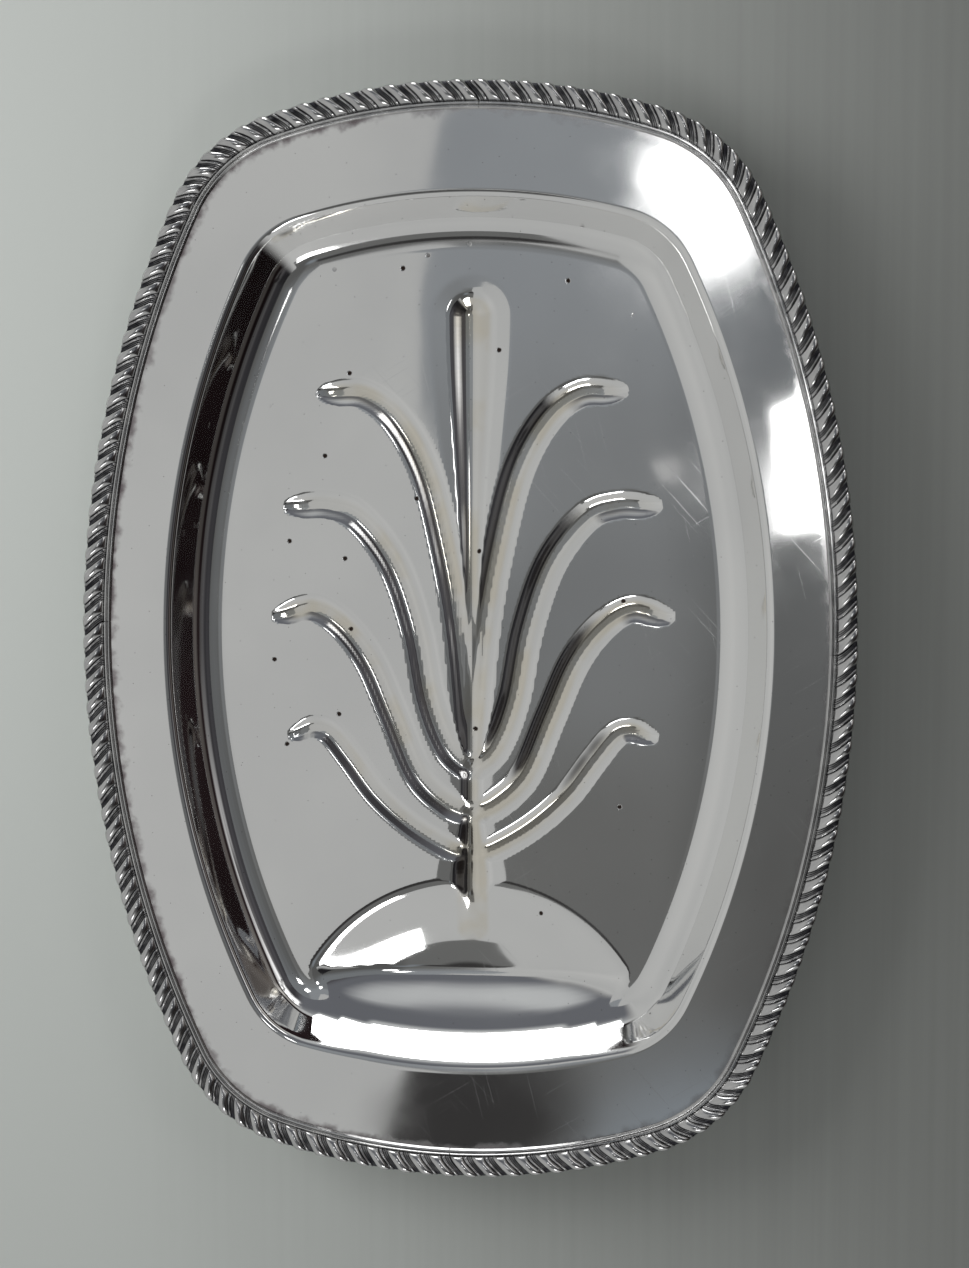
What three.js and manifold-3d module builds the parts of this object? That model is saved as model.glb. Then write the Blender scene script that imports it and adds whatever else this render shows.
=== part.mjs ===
// Footed meat platter: one pressed sheet with a flat rim, a stepped wall, a tree of gravy
// channels and a gravy well, a twisted gadroon border soldered round its edge in four lengths,
// and four turned feet soldered under its floor.
// Millimetres, +Z up. The origin is on the table, under the middle of the tray. +Y is the head
// of the tree, and the gravy well is at -Y.

import * as THREE from 'three';
import { mergeVertices } from 'three/addons/utils/BufferGeometryUtils.js';
import Module from 'manifold-3d';

const wasm = await Module();
wasm.setup();

// Outer edge of the border, seen from above: eight tangent arcs
const trayHalfWidth = 153;
const trayHalfLength = 216;
const traySideRadius = 402;
const trayEndRadius = 250;
const trayCornerRadius = 62.5;

// Lip, where the flat rim turns down into the dish
const lipHalfWidth = 121;
const lipHalfLength = 175;
const lipSideRadius = 342;
const lipEndRadius = 239;
const floorCornerRadius = 16;

// Section of the pressed sheet, from the rim to the floor
const sheetThickness = 1.3;
const rimRise = 1.5;
const lipRadius = 4;
const wallSlope = THREE.MathUtils.degToRad(57);
const dishDepth = 16;
const coveWidth = 12.2;
const coveRise = 4.6;

// Gravy well: a round dish centred under the lip, cut off by the end wall
const wellRadius = 74.7;
const wellDepth = 9;
const wellSlopeWidth = 40;
const wellFootRadius = 9;
const wellTableClearance = 7;

// Tree of channels. Heights run from the outlet into the well towards the head.
const stemHeadClearance = 14.5;
const stemHeadHalfWidth = 11;
const stemNeckHeight = 126;
const stemNeckHalfWidth = 6;
const stemFlareHeight = 30;
const stemOutletHalfWidth = 10.5;
const stemHeadDepth = 4;
const stemOutletDepth = 6.5;
const branchHalfWidth = 7;
const branchTipDepth = 3.6;
const branchJoinDepth = 4.8;

// Centre lines of the left-hand branches, from the stem to the tip: [left of stem, height]
const branchLines = [
  [[0, 52], [10.6, 106], [21.5, 160], [37.9, 192], [55, 197.5]],
  [[0, 39], [17.1, 70.5], [28.4, 114.5], [50.2, 146.5], [69, 152]],
  [[0, 22.5], [20, 38], [37.3, 74.5], [56.3, 105.5], [75, 110]],
  [[0, 11], [18.7, 19.5], [42.9, 42], [57, 59.5], [68.5, 62]],
];

// Gadroon border. Shares are of the gadroon's width, its height and the depth between lobes.
const borderWidth = 11.2;
const gadroonWidth = 8.2;
const gadroonHeight = 3.4;
const gadroonBulge = 0.9;
const gadroonTwist = 6.1;
const crestInsetShare = 0.4;
const shoulderInsetShare = 0.78;
const shoulderHeightShare = 0.72;
const shoulderSinkShare = 0.8;
const bulgeSinkShare = 0.5;
const lobesPerLength = 35;
const lobeDepth = 1.3;
const grooveHeight = 0.8;
const beadHeight = 1.6;
const edgeLap = 1.6;
const edgeClearance = 0.3;
const skirtThickness = 0.87;
const solderFilm = 0.1;
const borderJointGap = 0.3;

// Feet
const footRadius = 9.5;
const footFlangeRadius = 9;
const footFlangeThickness = 1.2;
const footFlangeTaper = 1.2;
const footNeckRadius = 5.5;
const footNeckLength = 1.2;
const footSoleRadius = 6;
const footBranchClearance = 6;
const footWellClearance = 25;
const wellFootAngle = THREE.MathUtils.degToRad(35);

// Facets
const sideSteps = 6;
const cornerSteps = 6;
const endSteps = 10;
const lipSteps = 3;
const coveSteps = 3;
const dishSteps = 5;
const dishSectors = 48;
const headSteps = 3;
const branchSteps = 10;
const branchTipCrowding = 1.5;
const footSectors = 16;
const bunSteps = 6;

// Heights above the table
const footHeight = wellDepth + wellTableClearance;
const floorUnderside = footHeight + solderFilm;
const floorTop = floorUnderside + sheetThickness;
const lipHeight = floorTop + dishDepth;
const rimHeight = lipHeight + rimRise;

// How far tools reach past the skin that they cut
const cutClearance = 0.4;

// Outline of eight tangent arcs, anticlockwise from the middle of the right side
function barrelOutline(halfWidth, halfLength, sideRadius, endRadius, cornerRadius) {
  const sideCentre = new THREE.Vector2(halfWidth - sideRadius, 0);
  const endCentre = new THREE.Vector2(0, halfLength - endRadius);
  const sideReach = sideRadius - cornerRadius;
  const endReach = endRadius - cornerRadius;
  const span = sideCentre.distanceTo(endCentre);
  const along = (sideReach ** 2 - endReach ** 2 + span ** 2) / (2 * span);
  const across = Math.sqrt(sideReach ** 2 - along ** 2);
  const direction = endCentre.clone().sub(sideCentre).divideScalar(span);
  const { x, y } = sideCentre.clone()
    .addScaledVector(direction, along)
    .addScaledVector(new THREE.Vector2(-direction.y, direction.x), across);
  const sideTurn = Math.atan2(y, x - sideCentre.x);
  const endTurn = Math.atan2(y - endCentre.y, x);
  const turn = Math.PI;
  const arc = (centreX, centreY, radius, from, to, steps) => (
    { centreX, centreY, radius, from, to, steps }
  );
  return [
    arc(sideCentre.x, 0, sideRadius, 0, sideTurn, sideSteps),
    arc(x, y, cornerRadius, sideTurn, endTurn, cornerSteps),
    arc(0, endCentre.y, endRadius, endTurn, turn - endTurn, endSteps),
    arc(-x, y, cornerRadius, turn - endTurn, turn - sideTurn, cornerSteps),
    arc(-sideCentre.x, 0, sideRadius, turn - sideTurn, turn + sideTurn, 2 * sideSteps),
    arc(-x, -y, cornerRadius, turn + sideTurn, turn + endTurn, cornerSteps),
    arc(0, -endCentre.y, endRadius, turn + endTurn, 2 * turn - endTurn, endSteps),
    arc(x, -y, cornerRadius, 2 * turn - endTurn, 2 * turn - sideTurn, cornerSteps),
    arc(sideCentre.x, 0, sideRadius, 2 * turn - sideTurn, 2 * turn, sideSteps),
  ];
}

// Point on an arc of an outline, moved inwards by an inset
function arcPoint(arc, angle, inset, height) {
  const radius = arc.radius - inset;
  const x = arc.centreX + radius * Math.cos(angle);
  const y = arc.centreY + radius * Math.sin(angle);
  return new THREE.Vector3(x, y, height);
}

// Closed ring of points on an outline
function outlineRing(outline, inset, height) {
  return outline.flatMap((arc) => Array.from({ length: arc.steps }, (_, step) => {
    const angle = arc.from + (arc.to - arc.from) * step / arc.steps;
    return arcPoint(arc, angle, inset, height);
  }));
}

// Point at a distance along an outline, measured on its outer edge
function pointAlong(outline, distance, inset, height) {
  let rest = THREE.MathUtils.euclideanModulo(distance, outlineLength(outline));
  for (const arc of outline) {
    const length = arc.radius * (arc.to - arc.from);
    if (rest <= length) {
      return arcPoint(arc, arc.from + rest / arc.radius, inset, height);
    }
    rest -= length;
  }
  const last = outline.at(-1);
  return arcPoint(last, last.to, inset, height);
}

function outlineLength(outline) {
  return outline.reduce((sum, arc) => sum + arc.radius * (arc.to - arc.from), 0);
}

const trayOutline = barrelOutline(
  trayHalfWidth, trayHalfLength, traySideRadius, trayEndRadius, trayCornerRadius,
);

// Section of the wall as stations of inset from the lip, drop below it and slope
const lipRun = lipRadius * Math.sin(wallSlope);
const lipDrop = lipRadius * (1 - Math.cos(wallSlope));
const creaseDrop = dishDepth - coveRise;
const creaseInset = lipRun + (creaseDrop - lipDrop) / Math.tan(wallSlope);
const wallWidth = creaseInset + coveWidth;
const coveSlope = 2 * Math.atan2(coveRise, coveWidth);
const coveRadius = coveWidth / Math.sin(coveSlope);

const lipOutline = barrelOutline(
  lipHalfWidth, lipHalfLength, lipSideRadius, lipEndRadius, floorCornerRadius + wallWidth,
);

function fractions(steps) {
  return Array.from({ length: steps + 1 }, (_, step) => step / steps);
}

function lipStations() {
  return fractions(lipSteps).map((fraction) => {
    const slope = wallSlope * fraction;
    return { inset: lipRadius * Math.sin(slope), drop: lipRadius * (1 - Math.cos(slope)), slope };
  });
}

function coveStations() {
  return fractions(coveSteps).slice(1).map((fraction) => {
    const slope = coveSlope * (1 - fraction);
    const inset = wallWidth - coveRadius * Math.sin(slope);
    return { inset, drop: dishDepth - coveRadius * (1 - Math.cos(slope)), slope };
  });
}

function dishStations() {
  const crease = { inset: creaseInset, drop: creaseDrop, slope: (wallSlope + coveSlope) / 2 };
  return [...lipStations(), crease, ...coveStations()];
}

// Wall of the well: the steep wall runs on down to the depth of the well, then rounds in
function wellWallStations() {
  const crease = { inset: creaseInset, drop: creaseDrop, slope: wallSlope };
  const footRun = wellFootRadius * Math.sin(wallSlope);
  const footDrop = dishDepth + wellDepth - wellFootRadius * (1 - Math.cos(wallSlope));
  const footStart = creaseInset + (footDrop - creaseDrop) / Math.tan(wallSlope);
  const foot = fractions(lipSteps).map((fraction) => {
    const slope = wallSlope * (1 - fraction);
    const inset = footStart + footRun - wellFootRadius * Math.sin(slope);
    return { inset, drop: dishDepth + wellDepth - wellFootRadius * (1 - Math.cos(slope)), slope };
  });
  return [crease, ...foot];
}

// Ring of the sheet's skin at a station, moved out through the sheet by a depth
function stationRing(station, depth) {
  const inset = station.inset - depth * Math.sin(station.slope);
  return outlineRing(lipOutline, inset, lipHeight - station.drop - depth * Math.cos(station.slope));
}

// Mesh from points and triangles, turned so that its faces point out
function closedGeometry(points, triangles) {
  const volume = triangles.reduce((sum, [a, b, c]) => {
    const normal = points[b].clone().cross(points[c]);
    return sum + points[a].dot(normal);
  }, 0);
  const facing = volume < 0 ? triangles.map(([a, b, c]) => [a, c, b]) : triangles;
  const geometry = new THREE.BufferGeometry().setFromPoints(points);
  geometry.setIndex(facing.flat());
  return geometry;
}

// Skin over matching rings, closed at both ends by flat caps triangulated on capShape
function loft(rings, capShape) {
  const count = rings[0].length;
  const last = (rings.length - 1) * count;
  const triangles = [];
  for (let start = 0; start < last; start += count) {
    for (let i = 0; i < count; i += 1) {
      const next = (i + 1) % count;
      triangles.push([start + i, start + next, start + count + next]);
      triangles.push([start + i, start + count + next, start + count + i]);
    }
  }
  const flip = THREE.ShapeUtils.isClockWise(capShape);
  for (const [a, b, c] of THREE.ShapeUtils.triangulateShape(capShape, [])) {
    const [second, third] = flip ? [c, b] : [b, c];
    triangles.push([a, third, second]);
    triangles.push([last + a, last + second, last + third]);
  }
  return closedGeometry(rings.flat(), triangles);
}

function planShape(ring) {
  return ring.map((point) => new THREE.Vector2(point.x, point.y));
}

// Solid for cutting and joining
function toSolid(geometry) {
  const bare = geometry.clone();
  bare.deleteAttribute('normal');
  bare.deleteAttribute('uv');
  const merged = mergeVertices(bare);
  const index = Array.from(merged.index.array);
  const triangles = [];
  for (let i = 0; i < index.length; i += 3) {
    const [a, b, c] = index.slice(i, i + 3);
    if (a !== b && b !== c && c !== a) {
      triangles.push(a, b, c);
    }
  }
  return new wasm.Manifold(new wasm.Mesh({
    numProp: 3,
    vertProperties: new Float32Array(merged.attributes.position.array),
    triVerts: new Uint32Array(triangles),
  }));
}

function toGeometry(solid) {
  const mesh = solid.getMesh();
  const geometry = new THREE.BufferGeometry();
  geometry.setAttribute('position', new THREE.BufferAttribute(mesh.vertProperties, 3));
  geometry.setIndex(new THREE.BufferAttribute(mesh.triVerts, 1));
  geometry.computeVertexNormals();
  return geometry;
}

function joined(solids) {
  return solids.reduce((sum, solid) => sum.add(solid));
}

// Everything above the underside of the tray, with its rim
function trayOuter() {
  const rings = dishStations().reverse().map((station) => stationRing(station, sheetThickness));
  for (const depth of [sheetThickness, 0]) {
    const inner = outlineRing(trayOutline, borderWidth, rimHeight - depth);
    const outer = outlineRing(trayOutline, edgeLap, rimHeight - depth);
    rings.push(...(depth > 0 ? [inner, outer] : [outer, inner]));
  }
  rings.push(outlineRing(lipOutline, 0, lipHeight));
  return toSolid(loft(rings, planShape(rings[0])));
}

// Everything above the upper skin of the dish
function trayInner() {
  const rings = dishStations().reverse().map((station) => stationRing(station, 0));
  rings.push(outlineRing(lipOutline, 0, rimHeight + cutClearance));
  return toSolid(loft(rings, planShape(rings[0])));
}

// Round bowl of the well, whose slope runs on upwards past its edge
const wellCentreY = -lipHalfLength;

function wellBowl(depth) {
  const quarter = Math.PI / 2;
  const profile = fractions(dishSteps).map((fraction) => {
    const phase = quarter * (1 - fraction);
    const slope = Math.atan(wellDepth * quarter / wellSlopeWidth * Math.cos(phase));
    const radius = wellRadius - wellSlopeWidth * (1 - fraction) + depth * Math.sin(slope);
    const height = -wellDepth * Math.sin(phase) - depth * Math.cos(slope);
    return { radius, height, slope };
  });
  const edge = profile.at(-1);
  const rim = coveRise - edge.height;
  profile.push({ radius: edge.radius + rim / Math.tan(edge.slope), height: coveRise });
  const points = profile.map(({ radius, height }) => new THREE.Vector2(radius, height));
  points.unshift(new THREE.Vector2(0, points[0].y));
  points.push(new THREE.Vector2(0, coveRise));
  const bowl = new THREE.LatheGeometry(points, dishSectors).rotateX(quarter);
  return toSolid(facingOut(bowl.translate(0, wellCentreY, floorTop)));
}

// Well as far as the end wall lets it reach
function wellForm(depth) {
  const rings = wellWallStations().map((station) => stationRing(station, depth));
  const walls = toSolid(loft(rings, planShape(rings[0])));
  return walls.intersect(wellBowl(depth));
}

function facingOut(geometry) {
  const position = geometry.attributes.position;
  const points = Array.from({ length: position.count }, (_, i) => (
    new THREE.Vector3().fromBufferAttribute(position, i)
  ));
  const index = Array.from(geometry.index.array);
  const triangles = [];
  for (let i = 0; i < index.length; i += 3) {
    triangles.push(index.slice(i, i + 3));
  }
  return closedGeometry(points, triangles);
}

// Pressed channel: a valley with round shoulders, swept along a line on the floor and closed by
// a round end. A depth greater than 0 gives the underside of the sheet.
const valleyShares = [-0.75, -0.45, -0.15, 0.15, 0.45, 0.75];
const tipShares = [0.5, 0.88];

function valleyPoint(across, ahead, halfWidth, fall, depth) {
  const distance = Math.hypot(across, ahead);
  const phase = Math.PI / 2 * distance / halfWidth;
  const slope = Math.atan(fall * Math.PI / (2 * halfWidth) * Math.sin(2 * phase));
  const spread = distance > 0 ? depth * Math.sin(slope) / distance : 0;
  const height = -fall * Math.cos(phase) ** 2 - depth * Math.cos(slope);
  return { across: across * (1 + spread), ahead: ahead * (1 + spread), height };
}

function valleySection(ahead, halfWidth, fall, depth) {
  const reach = Math.sqrt(halfWidth ** 2 - ahead ** 2);
  const bottom = valleyShares.map((share) => (
    valleyPoint(share * reach, ahead, halfWidth, fall, depth)
  ));
  const shoulder = { ahead, height: cutClearance };
  return [{ ...shoulder, across: -reach }, ...bottom, { ...shoulder, across: reach }];
}

function channelForm(curve, sampling, halfWidthAt, fallAt, depth) {
  const stations = sampling.map((fraction) => ({ fraction, ahead: 0 }));
  stations.push(...tipShares.map((share) => ({ fraction: 1, ahead: share * halfWidthAt(1) })));
  const sections = stations.map(({ fraction, ahead }) => (
    valleySection(ahead, halfWidthAt(fraction), fallAt(fraction), depth)
  ));
  const rings = stations.map(({ fraction }, i) => {
    const centre = curve.getPointAt(fraction);
    const tangent = curve.getTangentAt(fraction);
    return sections[i].map(({ across, ahead, height }) => new THREE.Vector3(
      centre.x + tangent.x * ahead - tangent.y * across,
      centre.y + tangent.y * ahead + tangent.x * across,
      floorTop + height,
    ));
  });
  const capShape = sections[0].map(({ across, height }) => new THREE.Vector2(across, height));
  return toSolid(loft(rings, capShape));
}

const outletY = wellCentreY + wellRadius;
const stemTopY = lipHalfLength - wallWidth - stemHeadClearance - stemHeadHalfWidth;
const stemLength = stemTopY - outletY;

// The stem flares at its outlet and widens again towards its head
function stemForm(depth) {
  const overrun = wellSlopeWidth / 2;
  const curve = new THREE.LineCurve(
    new THREE.Vector2(0, outletY - overrun), new THREE.Vector2(0, stemTopY),
  );
  const heights = [
    -overrun, 0, stemFlareHeight / 2, stemFlareHeight, stemNeckHeight,
    ...fractions(headSteps).slice(1).map((fraction) => (
      THREE.MathUtils.lerp(stemNeckHeight, stemLength, fraction)
    )),
  ];
  const sampling = heights.map((height) => (height + overrun) / (stemLength + overrun));
  const halfWidthAt = (fraction) => {
    const height = fraction * (stemLength + overrun) - overrun;
    const flare = 1 - THREE.MathUtils.smoothstep(height, 0, stemFlareHeight);
    const swell = THREE.MathUtils.smoothstep(height, stemNeckHeight, stemLength);
    return stemNeckHalfWidth
      + (stemOutletHalfWidth - stemNeckHalfWidth) * flare
      + (stemHeadHalfWidth - stemNeckHalfWidth) * swell;
  };
  const fallAt = (fraction) => THREE.MathUtils.lerp(stemOutletDepth, stemHeadDepth, fraction);
  return channelForm(curve, sampling, halfWidthAt, fallAt, depth);
}

// Sections of a branch lie closer together towards its bent tip
function branchForm(line, side, depth) {
  const points = line.map(([left, height]) => new THREE.Vector2(side * left, outletY + height));
  const curve = new THREE.SplineCurve(points);
  const sampling = fractions(branchSteps).map((fraction) => (
    1 - (1 - fraction) ** branchTipCrowding
  ));
  const fallAt = (fraction) => THREE.MathUtils.lerp(branchJoinDepth, branchTipDepth, fraction);
  return channelForm(curve, sampling, () => branchHalfWidth, fallAt, depth);
}

function treeForms(depth) {
  const branches = branchLines.flatMap((line) => (
    [-1, 1].map((side) => branchForm(line, side, depth))
  ));
  return [stemForm(depth), ...branches];
}

// The whole pressing: what lies above its underside, less what lies above its upper skin
function platterBody() {
  const outer = joined([trayOuter(), wellForm(sheetThickness), ...treeForms(sheetThickness)]);
  const inner = joined([trayInner(), wellForm(0), ...treeForms(0)]);
  return toGeometry(outer.subtract(inner));
}

// Section of the border as inset from its outer edge and height above the sheet. Lobes share
// their seat, groove and bead, and sink between their crests.
function borderSection(sink) {
  const rebate = edgeLap - edgeClearance;
  const beadInset = (gadroonWidth + borderWidth) / 2;
  return [
    [borderWidth, solderFilm],
    [rebate, solderFilm],
    [rebate, -sheetThickness],
    [rebate - skirtThickness, -sheetThickness],
    [bulgeSinkShare * sink, gadroonBulge],
    [crestInsetShare * gadroonWidth, gadroonHeight - sink],
    [
      shoulderInsetShare * gadroonWidth,
      shoulderHeightShare * gadroonHeight - shoulderSinkShare * sink,
    ],
    [gadroonWidth, grooveHeight],
    [beadInset, beadHeight],
  ];
}

// One length of border: crests and valleys alternate, and each row of the section runs ahead
// of the row outside it, so that the lobes slant
function borderLength(quarter) {
  const total = outlineLength(trayOutline) / 4;
  const start = quarter * total + borderJointGap / 2;
  const pitch = (total - borderJointGap) / lobesPerLength;
  const rings = [];
  for (let step = 0; step <= 2 * lobesPerLength; step += 1) {
    const section = borderSection(step % 2 === 0 ? lobeDepth : 0);
    rings.push(section.map(([inset, height]) => {
      const slant = gadroonTwist * Math.min(inset / gadroonWidth, 1);
      return pointAlong(trayOutline, start + step * pitch / 2 - slant, inset, rimHeight + height);
    }));
  }
  const capShape = borderSection(lobeDepth).map(([inset, height]) => (
    new THREE.Vector2(inset, height)
  ));
  return loft(rings, capShape);
}

// Turned bun foot with a soldering flange
function footGeometry() {
  const flangeUnderside = footHeight - footFlangeThickness;
  const neckTop = flangeUnderside - footFlangeTaper;
  const bunTop = neckTop - footNeckLength;
  const points = [
    new THREE.Vector2(0, footHeight),
    new THREE.Vector2(footFlangeRadius, footHeight),
    new THREE.Vector2(footFlangeRadius, flangeUnderside),
    new THREE.Vector2(footNeckRadius, neckTop),
  ];
  for (const fraction of fractions(bunSteps)) {
    const swell = Math.sin(Math.PI * fraction);
    const waist = THREE.MathUtils.lerp(footNeckRadius, footSoleRadius, fraction);
    const belly = footRadius - (footNeckRadius + footSoleRadius) / 2;
    points.push(new THREE.Vector2(waist + belly * swell, bunTop * (1 - fraction)));
  }
  points.push(new THREE.Vector2(0, 0));
  return facingOut(new THREE.LatheGeometry(points, footSectors).rotateX(Math.PI / 2));
}

// Feet at the head stand beyond the tips of the upper branches, and the others beside the well
function footPlaces() {
  const [tipX, tipHeight] = branchLines[0].at(-1);
  const headY = outletY + tipHeight + branchHalfWidth + footBranchClearance + footRadius;
  const wellReach = wellRadius + footWellClearance + footRadius;
  const wellX = wellReach * Math.sin(wellFootAngle);
  const wellY = wellCentreY + wellReach * Math.cos(wellFootAngle);
  return [
    ['foot_head_left', -tipX, headY],
    ['foot_head_right', tipX, headY],
    ['foot_well_left', -wellX, wellY],
    ['foot_well_right', wellX, wellY],
  ];
}

function named(name, geometry, material) {
  const mesh = new THREE.Mesh(geometry, material);
  mesh.name = name;
  return mesh;
}

function silver(color, roughness) {
  return new THREE.MeshStandardMaterial({ color, metalness: 1, roughness });
}

const polishedSilver = silver(0xc8c7c3, 0.12);
const oxidisedSilver = silver(0x9b9995, 0.25);
const borderNames = [
  'border_head_right', 'border_head_left', 'border_well_left', 'border_well_right',
];

const platter = new THREE.Group();
platter.add(named('platter_body', platterBody(), polishedSilver));
borderNames.forEach((name, quarter) => {
  platter.add(named(name, borderLength(quarter), oxidisedSilver));
});
for (const [name, x, y] of footPlaces()) {
  const foot = named(name, footGeometry(), polishedSilver);
  foot.position.set(x, y, 0);
  platter.add(foot);
}

export default platter;
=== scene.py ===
"""Looks of a footed meat platter: a pressed silver-plated tray with a gravy tree and well, a
twisted gadroon border and four bun feet. Sizes are in millimetres, in the frame's own axes, and
are turned into metres where meshes, lamps and the camera are made."""

import math
from collections import namedtuple

import bpy
import numpy as np
from mathutils import Matrix, Vector


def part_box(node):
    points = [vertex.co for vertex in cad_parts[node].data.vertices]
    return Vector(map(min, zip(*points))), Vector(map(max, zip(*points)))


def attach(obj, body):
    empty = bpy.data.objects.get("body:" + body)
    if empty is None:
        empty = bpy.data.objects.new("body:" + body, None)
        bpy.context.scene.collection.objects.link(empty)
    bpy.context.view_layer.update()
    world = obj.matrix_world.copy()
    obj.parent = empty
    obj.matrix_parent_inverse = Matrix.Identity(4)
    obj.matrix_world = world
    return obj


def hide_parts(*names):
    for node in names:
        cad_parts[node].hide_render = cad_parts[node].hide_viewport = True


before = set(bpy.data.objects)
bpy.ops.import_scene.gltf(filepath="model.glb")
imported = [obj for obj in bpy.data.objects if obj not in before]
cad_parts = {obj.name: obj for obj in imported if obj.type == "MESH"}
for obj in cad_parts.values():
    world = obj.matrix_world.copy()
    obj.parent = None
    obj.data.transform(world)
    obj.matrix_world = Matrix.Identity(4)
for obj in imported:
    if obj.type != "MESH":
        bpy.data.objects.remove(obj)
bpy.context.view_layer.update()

MM = 0.001

# Outer edge of the border, seen from above: eight tangent arcs
TRAY_HALF_WIDTH = 153.0
TRAY_HALF_LENGTH = 216.0
TRAY_SIDE_RADIUS = 402.0
TRAY_END_RADIUS = 250.0
TRAY_CORNER_RADIUS = 62.5

# Lip, where the rim turns down into the dish
LIP_HALF_WIDTH = 121.0
LIP_HALF_LENGTH = 175.0
LIP_SIDE_RADIUS = 342.0
LIP_END_RADIUS = 239.0
LIP_CORNER_RADIUS = 37.8

# Section of the pressed sheet
SHEET = 1.3
RIM_RISE = 0.25
LIP_RADIUS = 4.0
WALL_SLOPE = math.radians(57)
DISH_DEPTH = 16.0
CREASE_RADIUS = 0.8
COVE_WIDTH = 12.2
COVE_RISE = 4.6

# Gravy well
WELL_RADIUS = 74.7
WELL_DEPTH = 9.0
WELL_SLOPE_WIDTH = 40.0
WELL_FOOT_BLEND = 24.0
WELL_EDGE_BLEND = 1.0
WELL_WALL_EASE = 0.33
WELL_EASE_LENGTH = 46.0
WELL_EASE_SHARES = (0.5, 1.1)

# Tree of channels. Heights run from the outlet into the well towards the head.
STEM_NECK_HEIGHT = 126.0
STEM_HEAD_HEIGHT = 228.0
STEM_HEAD_HALF_WIDTH = 10.5
STEM_NECK_HALF_WIDTH = 5.0
STEM_OUTLET_HALF_WIDTH = 9.0
STEM_FLARE_HEIGHT = 30.0
STEM_NECK_DEPTH = 1.2
STEM_HEAD_DEPTH = 2.5
STEM_OUTLET_DEPTH = 2.4
STEM_SHOULDER_SLOPE = 0.05
BRANCH_HALF_WIDTHS = (7.0, 7.0, 6.8, 6.0)
BRANCH_TIP_SHARE = 0.85
BRANCH_NARROWING_START = 0.5
BRANCH_TIP_LENGTH = 12.0
BRANCH_DEPTHS = (1.8, 1.8, 1.8, 1.55)
BRANCH_SHOULDER_SLOPE = 0.0
CHANNEL_FLAT = 1.0
CHANNEL_FLAT_SHARE = 1 / 3
CHANNEL_MERGE = 4
SHOULDER_SHARE = 1.5
SHOULDER_BLEND = 1.5
TREE_SHIFT = 1.4
BRANCH_LINES = (
    ((0, 54), (4.5, 102), (10.7, 137.3), (18.6, 167), (30, 187.3), (43, 197), (56.5, 197.6)),
    (
        (0, 46), (9, 54.8), (16.5, 74), (22.2, 103),
        (31.5, 129.5), (45.5, 147.6), (58, 152.6), (70.5, 152.3),
    ),
    (
        (0, 28), (10, 32.5), (21.5, 44), (31.5, 67.5),
        (41, 89.5), (52, 104), (64, 111.2), (76, 108.6),
    ),
    (
        (0, 11.5), (9, 14), (24, 23), (38, 35.3),
        (49.5, 50.6), (57.5, 60.3), (64, 62.6), (70.5, 60.3),
    ),
)

# Gadroon border
BORDER_WIDTH = 11.2
GADROON_WIDTH = 8.2
GADROON_HEIGHT = 3.4
GADROON_TWIST = 6.1
LOBES_PER_LENGTH = 35
LOBE_DEPTH = 1.6
EDGE_LAP = 1.6
SOLDER_FILM = 0.1
BORDER_JOINT_GAP = 0.3

# Feet
FOOT_RADIUS = 9.5
FOOT_FLANGE_RADIUS = 9.0
FOOT_FLANGE = 1.2
FOOT_NECK_RADIUS = 5.5
FOOT_SOLE_RADIUS = 6.0

# Heights above the table
FOOT_HEIGHT = 16.0
FLOOR_TOP = FOOT_HEIGHT + SOLDER_FILM + SHEET
LIP_HEIGHT = FLOOR_TOP + DISH_DEPTH
RIM_HEIGHT = LIP_HEIGHT + RIM_RISE

# Facets of the fine sheet. Rings of the wall are counted on the lip, the steep wall, the crease,
# the cove and the edge of the floor.
SIDE_COLUMNS = 144
END_COLUMNS = 174
CORNER_COLUMNS = 12
RIM_ROWS = 5
WALL_RINGS = (7, 7, 4, 9, 10)
UNDERSIDE_COARSENESS = 3
UNDERSIDE_RIM_ROWS = 3
UNDERSIDE_RING_STEP = 2

# Samples of curves, and small steps
PATH_SAMPLES = 2000
SPAN_SAMPLES = 24
STEM_SAMPLES = 120
TIP_SAMPLES = 10
NORMAL_STEP = 0.05
MERGE_DECIMALS = 4
TINY = 1e-9

# Camera, from the outline's perspective in the picture
CAMERA_PLACE = (66.0, 45.0, 730.0)
CAMERA_TARGET = (8.08, 1.73, 35.0)
CAMERA_LENS = 50.6

Arc = namedtuple("Arc", "x y radius start end")


def barrel(half_width, half_length, side_radius, end_radius, corner_radius):
    """Nine arcs of a barrel outline, anticlockwise from the middle of the right side."""
    side_x = half_width - side_radius
    end_y = half_length - end_radius
    side_reach = side_radius - corner_radius
    end_reach = end_radius - corner_radius
    span = math.hypot(side_x, end_y)
    along = (side_reach**2 - end_reach**2 + span**2) / (2 * span)
    across = math.sqrt(side_reach**2 - along**2)
    dx, dy = -side_x / span, end_y / span
    x = side_x + dx * along - dy * across
    y = dy * along + dx * across
    side_turn = math.atan2(y, x - side_x)
    end_turn = math.atan2(y - end_y, x)
    pi = math.pi
    return (
        Arc(side_x, 0, side_radius, 0, side_turn),
        Arc(x, y, corner_radius, side_turn, end_turn),
        Arc(0, end_y, end_radius, end_turn, pi - end_turn),
        Arc(-x, y, corner_radius, pi - end_turn, pi - side_turn),
        Arc(-side_x, 0, side_radius, pi - side_turn, pi + side_turn),
        Arc(-x, -y, corner_radius, pi + side_turn, pi + end_turn),
        Arc(0, -end_y, end_radius, pi + end_turn, 2 * pi - end_turn),
        Arc(x, -y, corner_radius, 2 * pi - end_turn, 2 * pi - side_turn),
        Arc(side_x, 0, side_radius, 2 * pi - side_turn, 2 * pi),
    )


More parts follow.
